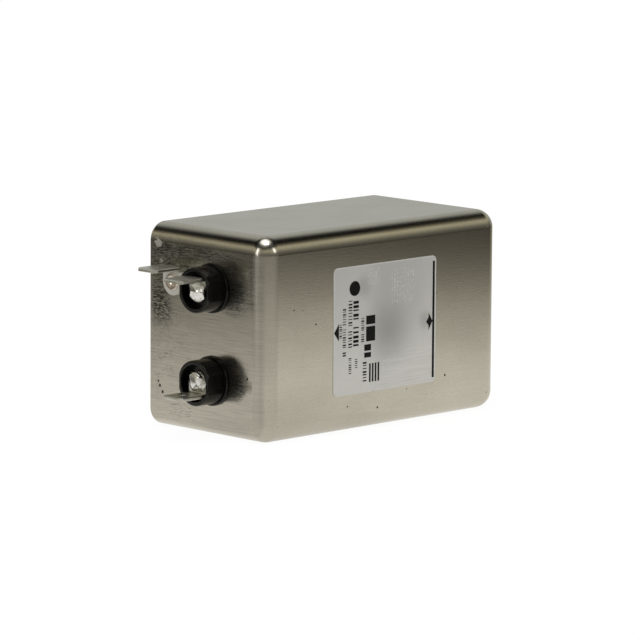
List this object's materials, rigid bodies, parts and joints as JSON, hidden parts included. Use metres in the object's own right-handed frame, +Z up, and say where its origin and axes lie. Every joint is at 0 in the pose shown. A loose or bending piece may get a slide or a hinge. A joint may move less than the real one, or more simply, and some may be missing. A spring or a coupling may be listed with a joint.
{
  "type": "emi line filter",
  "caption": "Deep-drawn metal-can line filter with recessed bushings carrying quick-connect tabs, a riveted ground tab at each end, a face label and a rolled-in base plate.",
  "frame": {"origin": "bottom centre of the whole part's box, in the plane it stands on", "axes": "+X from the load end to the supply end, +Y out of the base plate (the label face is -Y), +Z up"},
  "size_m": [0.102, 0.0388, 0.047],
  "materials": {
    "can_steel": "satin nickel-plated drawn steel, faintly brushed along its length",
    "plate_steel": "satin plated steel",
    "insert_steel": "bright plated steel",
    "label_film": "silver-grey satin film",
    "bushing_plastic": "black moulded phenolic, semi-gloss",
    "tab_metal": "tin-plated brass, satin",
    "solder": "bright uneven solder",
    "eyelet_metal": "tin-plated brass",
    "rivet_metal": "tin-plated brass",
    "liner_board": "matt insulating board",
    "board_laminate": "brown phenolic laminate",
    "spacer_nylon": "natural nylon",
    "core_ferrite": "coated ferrite",
    "winding_wire": "enamelled copper",
    "xcap_case": "moulded box, semi-gloss",
    "ycap_coat": "dipped coating",
    "resistor_coat": "lacquered body",
    "lead_wire": "tinned copper",
    "ground_wire": "tinned copper with its ring terminal"
  },
  "bodies": {
    "root": {"case_can": "can_steel", "base_plate": "plate_steel", "threaded_inserts": "insert_steel", "rating_label": "label_film", "bushing_load_line": "bushing_plastic", "bushing_load_neutral": "bushing_plastic", "bushing_supply_line": "bushing_plastic", "bushing_supply_neutral": "bushing_plastic", "tab_load_line": "tab_metal", "tab_load_neutral": "tab_metal", "tab_supply_line": "tab_metal", "tab_supply_neutral": "tab_metal", "solder_load_line": "solder", "solder_load_neutral": "solder", "solder_supply_line": "solder", "solder_supply_neutral": "solder", "terminal_eyelets": "eyelet_metal", "ground_tab_load": "tab_metal", "ground_tab_supply": "tab_metal", "ground_rivets": "rivet_metal", "liner": "liner_board", "circuit_board": "board_laminate", "board_spacers": "spacer_nylon", "choke_core": "core_ferrite", "choke_divider": "spacer_nylon", "choke_winding_line": "winding_wire", "choke_winding_neutral": "winding_wire", "x_capacitor_supply": "xcap_case", "x_capacitor_load": "xcap_case", "y_capacitor_line": "ycap_coat", "y_capacitor_neutral": "ycap_coat", "bleed_resistor": "resistor_coat", "lead_load_line": "lead_wire", "lead_load_neutral": "lead_wire", "lead_supply_line": "lead_wire", "lead_supply_neutral": "lead_wire", "ground_lead_load": "ground_wire", "ground_lead_supply": "ground_wire"}
  },
  "joints": []
}
